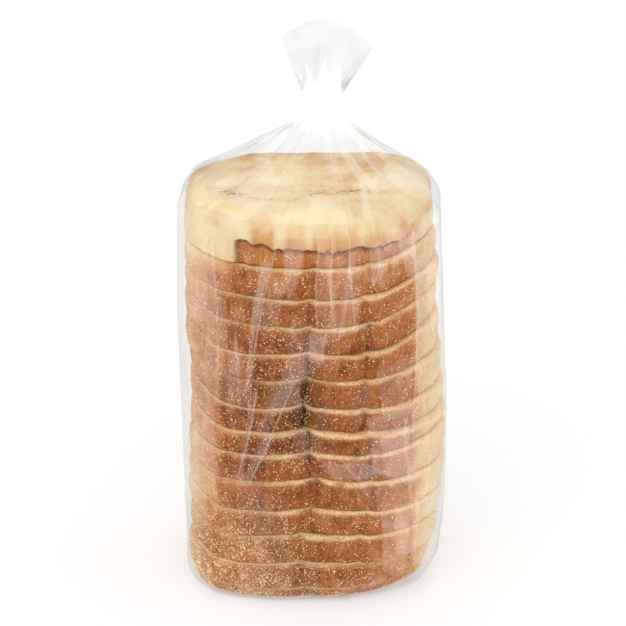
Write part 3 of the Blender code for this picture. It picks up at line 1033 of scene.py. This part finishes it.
def front_sheen_facets(x, y, z):
    """Painted reflections on the front's flat facets, as milkiness, each with sharp straight edges."""
    total = np.zeros(np.broadcast_shapes(x.shape, z.shape))
    for *numbers, milk_and_sheen in FRONT_SHEEN_FACETS:
        corners = list(zip(numbers[0::2], numbers[1::2]))
        inside = np.full(total.shape, 100.0)
        for (x1, z1), (x2, z2) in zip(corners, corners[1:] + corners[:1]):
            length = math.hypot(x2 - x1, z2 - z1)
            inside = np.minimum(inside, ((z2 - z1) * (x - x1) - (x2 - x1) * (z - z1)) / length)
        total = total + milk_and_sheen * rise(-0.45, 0.45, inside)
    return total * (y < 8.0)


def tongues(angle, length, seed):
    """How far the dense white gathers reach from the neck, at each angle."""
    own = np.random.default_rng(seed)
    return length * (0.25 + 0.75 * (0.5 + 0.5 * pleats(angle + own.uniform(0.0, 1.0), 26, seed)) ** 2.0)


# White gathers in the open end, dense film and partly a painted highlight: their place across it, half their
# width, and how far up they reach
RUFFLE_TONGUES = ((-0.60, 0.17, 0.44), (0.02, 0.20, 0.54), (0.58, 0.34, 0.42))


def ruffle_tongue(across):
    """How far up the open end its dense white gathers reach, from its left side at -1 to its right at 1."""
    reach = np.full(across.shape, 0.16)
    for place, half_width, high in RUFFLE_TONGUES:
        near = np.clip(1.0 - np.abs(across - place) / half_width, 0.0, 1.0)
        reach = np.maximum(reach, high * near**0.5)
    return reach * rise(1.0, 0.95, np.abs(across))


def crest_streaks(angle):
    """Thin milky lines of painted highlight along pleats, that run out from the neck over the loaf's end,
    most of them at the front.
    """
    own = np.random.default_rng(103)
    total = np.zeros(angle.shape)
    for number in range(20):
        wide = number % 2 == 0
        place = -math.pi / 2.0 + own.normal() * (0.6 if wide else 0.4)
        width = own.uniform(0.03, 0.07) if wide else own.uniform(0.006, 0.016)
        milk_and_sheen = own.uniform(0.03, 0.09) if wide else own.uniform(0.05, 0.17)
        away = np.abs((angle - place + math.pi) % (2.0 * math.pi) - math.pi)
        total = np.maximum(total, milk_and_sheen * np.clip((1.0 - away / width) * (6.0 if wide else 2.0), 0.0, 1.0))
    return total


FILM_ANGLES = front_dense_angles(FILM_POINTS, FILM_DENSITY)[None, :]
COS, SIN = np.cos(FILM_ANGLES), np.sin(FILM_ANGLES)
GATHERS = pleats(FILM_ANGLES, PLEAT_EDGES, 92)
LOOSE_GATHERS = 0.76 + 0.28 * GATHERS
# Painted highlights along the pleats below the neck
STREAKS = crest_streaks(FILM_ANGLES)
BASE_HAZE, NECK_HAZE = 0.03, 0.8  # how milky the film is there


def crumpled_row(height, cell, seed):
    return crumple(FILM_ANGLES, np.array([[height]]), cell, seed)


def body_point(z, panels, inset=0.0, share_in=1.0):
    """The body at that height: x, y, radius and how milky it is, with painted reflections on its facets and
    partly painted highlights on its fold crests.
    """
    smooth_radius = panel_radius(FILM_ANGLES, np.maximum(z, FILM_BASE_ROUND), panels)
    facets = crumple(FILM_ANGLES, z, (17.0, 30.0), 93) * 0.9 + crumple(FILM_ANGLES, z, (8.0, 14.0), 94) * 0.35
    wander = 0.10 * noise(COS * 3.0, SIN * 3.0, 0.0, 1.0, 91)
    turned = FILM_ANGLES + wander + 0.05 * noise(COS * 3.0, SIN * 3.0, z, (1.0, 1.0, 40.0), 95)
    reach = 0.06 + 0.44 * rise(135.0, 172.0, z)
    flat_x = smooth_radius * COS
    flat_y = LOAF_WIDEST_Y + smooth_radius * SIN
    folds, crest = front_folds(flat_x, flat_y, z)
    radius = smooth_radius + facets + (1.0 + pleats(turned, PLEAT_EDGES, 92)) * 0.5 * reach + folds
    slim = mix(0.0, 3.0, rise(-0.2, 0.8, COS)) * rise(46.0, 0.0, z) * rise(0.1, 0.6, np.abs(COS))
    radius = np.minimum(radius, smooth_radius + MOST_STAND_OUT) - slim - inset
    # Painted highlights on the fold crests, partly whitened film, and painted reflections on the front's
    # facets
    haze = 0.22 * crest + front_sheen_facets(flat_x, flat_y, z)
    return radius * share_in * COS, LOAF_WIDEST_Y + radius * share_in * SIN, radius, haze


def film_body(rings, panels):
    """The flat base, its rounded edge and the upright sides."""
    base_inset = mix(3.5, 11.0, 0.5 + 0.5 * COS)
    for share_in in BASE_FACE_RINGS:
        x, y, _, _ = body_point(np.array([[0.0]]), panels, base_inset, share_in)
        wrinkle = 0.12 * crumpled_row(share_in * 60.0, (12.0, 12.0), 96)
        rings.add(x, y, FILM_FLOOR + wrinkle, haze=BASE_HAZE)
    for row in range(BASE_ROWS):
        turn = math.pi / 2.0 * row / BASE_ROWS
        z = np.array([[FILM_FLOOR + (FILM_BASE_ROUND - FILM_FLOOR) * (1.0 - math.cos(turn))]])
        x, y, _, _ = body_point(z, panels, base_inset * (1.0 - math.sin(turn)))
        rings.add(x, y, z, haze=BASE_HAZE)
    z = np.linspace(FILM_BASE_ROUND, BODY_TOP, BODY_ROWS)[:, None]
    x, y, _, haze = body_point(z, panels)
    rings.add(x, y, z, haze=haze)


def film_corner(rings, panels):
    """Over the loaf's rounded end, up to where the film leaves it; returns the last ring."""
    _, _, radius, haze = body_point(np.array([[BODY_TOP]]), panels)
    corner_x = (radius - CORNER_RADIUS) * COS
    corner_y = LOAF_WIDEST_Y + (radius - CORNER_RADIUS) * SIN
    out_x, out_y = corner_x - NECK[0], corner_y - NECK[1]
    away = np.hypot(out_x, out_y) - NECK_RADIUS
    out_x, out_y = out_x / (away + NECK_RADIUS), out_y / (away + NECK_RADIUS)
    drop = NECK_LOW - BODY_TOP
    slope = np.arctan2(drop, away) - np.arcsin(CORNER_RADIUS / np.hypot(away, drop))
    for row in range(1, CORNER_ROWS + 1):
        part = row / CORNER_ROWS
        turn = (math.pi / 2.0 - slope) * part
        stand = CORNER_RADIUS + (1.0 + GATHERS) * 0.5 * mix(0.5, 0.25, part)
        x = corner_x + stand * np.cos(turn) * mix(COS, out_x, part)
        y = corner_y + stand * np.cos(turn) * mix(SIN, out_y, part)
        z = BODY_TOP + stand * np.sin(turn)
        rings.add(x, y, z, haze=0.01 + haze * (1.0 - part) + 0.6 * STREAKS * part)
    return x, y, z


def film_cone(rings, touch_x, touch_y, touch_z):
    """The shortest way from the loaf's end to the neck, in loose facets, with white gathers near the neck."""
    neck_x = NECK[0] + NECK_FLARE * LOOSE_GATHERS * COS
    neck_y = NECK[1] + NECK_FLARE * LOOSE_GATHERS * SIN
    across = 1.0 / np.hypot(touch_z - NECK_LOW, np.hypot(touch_x - neck_x, touch_y - neck_y))
    lean_out = (NECK_LOW - touch_z) * across
    tongue = tongues(FILM_ANGLES, 0.20, 101)
    for row in range(1, CONE_ROWS + 1):
        share = row / (CONE_ROWS + 1.0)
        belly = math.sin(math.pi * share)
        facets = crumpled_row(180.0 + 40.0 * share, (26.0, 34.0), 97) - 0.5
        stand = 0.4 * belly * share**1.5 * GATHERS + facets * 2.0 * belly * (1.0 - 0.5 * share)
        x = mix(touch_x, neck_x, share) + COS * lean_out * stand
        y = mix(touch_y, neck_y, share) + SIN * lean_out * stand
        z = mix(touch_z, NECK_LOW, share) - 1.2 * belly + stand * 0.8
        dense = 0.75 * rise(tongue + 0.03, tongue - 0.03, 1.0 - share)
        # Painted sheen: some facets made milky
        sheen = crumpled_row(180.0 + 60.0 * share, (11.0, 12.0), 105)
        sheen = 0.13 * rise(0.50, 0.54, sheen) * (y < 12.0)
        thin = 0.01 + 0.12 * share**3 + sheen + STREAKS * (0.6 + 0.4 * share)
        rings.add(x, y, z, haze=np.maximum(thin, dense))


def film_neck(rings):
    """The gathered neck, drawn in where the tie holds it."""
    loose = NECK_FLARE * LOOSE_GATHERS
    tight = NECK_RADIUS * (0.62 + 0.36 * GATHERS)
    for row in range(NECK_ROWS):
        share = row / (NECK_ROWS - 1.0)
        wave = mix(loose, tight, smooth(4.0 * share) * smooth(4.0 - 4.0 * share))
        x, y = NECK[0] + wave * COS, NECK[1] + wave * SIN
        rings.add(x, y, np.array([[mix(NECK_LOW, NECK_HIGH, share)]]), haze=NECK_HAZE)


def film_ruffle(rings):
    """The open end: a flat leaning fan, dipped at its sides, with white gathers that reach up into it."""
    waves = pleats(FILM_ANGLES + 0.05, 22, 98)
    curls = pleats(FILM_ANGLES + 0.3, 18, 99)
    for row in range(1, RUFFLE_ROWS + 1):
        share = row / RUFFLE_ROWS
        curl = FILM_ANGLES + 0.12 * smooth(share * 1.6) * curls
        opened = smooth(share * 1.7)
        wide = mix(NECK_FLARE, RUFFLE_HALF_WIDTH, share) * mix(LOOSE_GATHERS, 1.0 + 0.02 * waves, opened)
        deep = mix(NECK_FLARE, RUFFLE_HALF_DEPTH, share) * mix(LOOSE_GATHERS, 1.0 + 0.22 * waves, opened)
        x = NECK[0] + RUFFLE_LEAN * share + wide * np.cos(curl)
        y = NECK[1] + deep * np.sin(curl)
        edge = 9.8 * np.cos(curl) ** 2 + 2.4 * np.cos(curl) + 0.4 * noise(curl * 9.0, 0.0, 0.0, 1.0, 100)
        z = mix(NECK_HIGH, RUFFLE_TOP - 0.2, share) - share * (edge + 0.3)
        ragged = 0.05 * noise(np.cos(curl) * 9.0, share * 9.0, 0.0, 1.0, 102)
        reach = ruffle_tongue(np.cos(curl) + ragged) + ragged
        dense = 0.8 * rise(reach + 0.02, reach - 0.02, share)
        facets = crumpled_row(200.0 + 34.0 * share, (26.0, 14.0), 106)
        # Painted sheen: some facets made milky
        sheen = 0.09 * rise(0.46, 0.54, facets)
        rings.add(x, y, z, haze=np.maximum(0.005 + sheen, dense))


def film():
    """One sheet: base, panelled body, corner over the loaf's end, cone, neck and open ruffle."""
    rings = Rings()
    panels = film_panels()
    film_body(rings, panels)
    touch = film_corner(rings, panels)
    film_cone(rings, *touch)
    film_neck(rings)
    film_ruffle(rings)
    return rings.make("film", closed_top=False)


# ---------------------------------------------------------------- studio

ELEVATION = math.radians(20.0)
CAMERA_AWAY = 2.6
VIEW_WIDTH = 0.2845  # what the camera sees across, at the loaf
LOOK_AT = Vector((0.0, 0.0, 0.1216))
FLOOR_REACH = 6.0
FLOOR_BASE, FLOOR_GLOW = 0.52, 0.455  # part of the floor's white is its own light, so that shadows stay faint


def camera():
    lens = bpy.data.cameras.new("camera")
    lens.sensor_width = 36.0
    lens.lens = lens.sensor_width * CAMERA_AWAY / VIEW_WIDTH
    lens.clip_start = 0.05
    lens.clip_end = 50.0
    view = add_to_scene("camera", lens)
    view.location = LOOK_AT + CAMERA_AWAY * Vector((0.0, -math.cos(ELEVATION), math.sin(ELEVATION)))
    view.rotation_euler = (math.pi / 2.0 - ELEVATION, 0.0, 0.0)
    bpy.context.scene.camera = view


def floor():
    mesh = bpy.data.meshes.new("floor")
    corners = [(FLOOR_REACH * x, FLOOR_REACH * y, 0.0) for x, y in ((-1, -1), (1, -1), (1, 1), (-1, 1))]
    mesh.from_pydata(corners, [], [(0, 1, 2, 3)])
    plane = add_to_scene("floor", mesh)
    plane.location.z = -0.0002
    material, graph, shader = new_material("floor")
    graph.give(shader, {
        "Base Color": (FLOOR_BASE, FLOOR_BASE, FLOOR_BASE),
        "Emission Color": WHITE,
        "Emission Strength": FLOOR_GLOW,
        "Roughness": 1.0,
        "Specular IOR Level": 0.0,
    })
    plane.data.materials.append(material)
    plane.visible_glossy = False


def key_light(place=(-0.3, -1.3, 1.1), look_at=(0.0, 0.0, 0.1), size=1.4, power=7.0):
    lamp = bpy.data.lights.new("key", "AREA")
    lamp.shape = "RECTANGLE"
    lamp.size, lamp.size_y = size, size
    lamp.energy = power
    light = add_to_scene("key", lamp)
    light.location = place
    light.rotation_euler = (Vector(look_at) - Vector(place)).to_track_quat("-Z", "Y").to_euler()
    light.visible_camera = False
    light.visible_glossy = False


def studio():
    """An even white room; only reflections see it darker, with tall cards at both sides and light above."""
    world = bpy.data.worlds.new("studio")
    bpy.context.scene.world = world
    world.use_nodes = True
    graph = Graph(world.node_tree)
    times, plus = graph.times, graph.plus
    split = graph.nodes.new("ShaderNodeSeparateXYZ")
    graph.give(split, {"Vector": graph.add("TexCoord", "Generated")})
    side, back, up = split.outputs["X"], split.outputs["Y"], split.outputs["Z"]
    left = graph.span(side, -0.90, -0.95)
    right = times(graph.span(side, 0.84, 0.90), 1.3)
    above = times(graph.span(up, 0.45, 0.8), 0.7)
    behind = times(graph.span(back, -0.25, 0.55), 0.55)
    glow = plus(plus(plus(plus(left, right), above), behind), 0.10)
    in_gloss = graph.add("LightPath", "Is Glossy Ray")
    level = graph.add("Mix", "Result", {"Factor": in_gloss, "A": 1.0, "B": glow}, data_type="FLOAT")
    graph.give(graph.nodes["Background"], {"Color": WHITE, "Strength": level})
    key_light()


# ---------------------------------------------------------------- the scene

def main():
    upper, upper_sides = upper_end()
    lower, lower_sides = lower_end()
    slices = [bread_slice(number) for number in range(SLICES)]
    bread = bread_material()
    pieces = [upper, lower] + [piece for piece, _ in slices]
    for piece in pieces:
        piece.data.materials.append(bread)
    grains = semolina([upper_sides, lower_sides] + [sides for _, sides in slices])
    grains.data.materials.append(semolina_material())
    wrap = film()
    wrap.data.materials.append(film_material())
    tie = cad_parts["tie"]
    tie.data.materials.clear()
    tie.data.materials.append(tie_material())
    for piece in pieces + [grains, wrap]:
        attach(piece, "root")
        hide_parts("bag")
    floor()
    studio()
    camera()
    bpy.context.scene.view_settings.view_transform = "Standard"
    bpy.context.scene.cycles.transparent_max_bounces = 32


main()
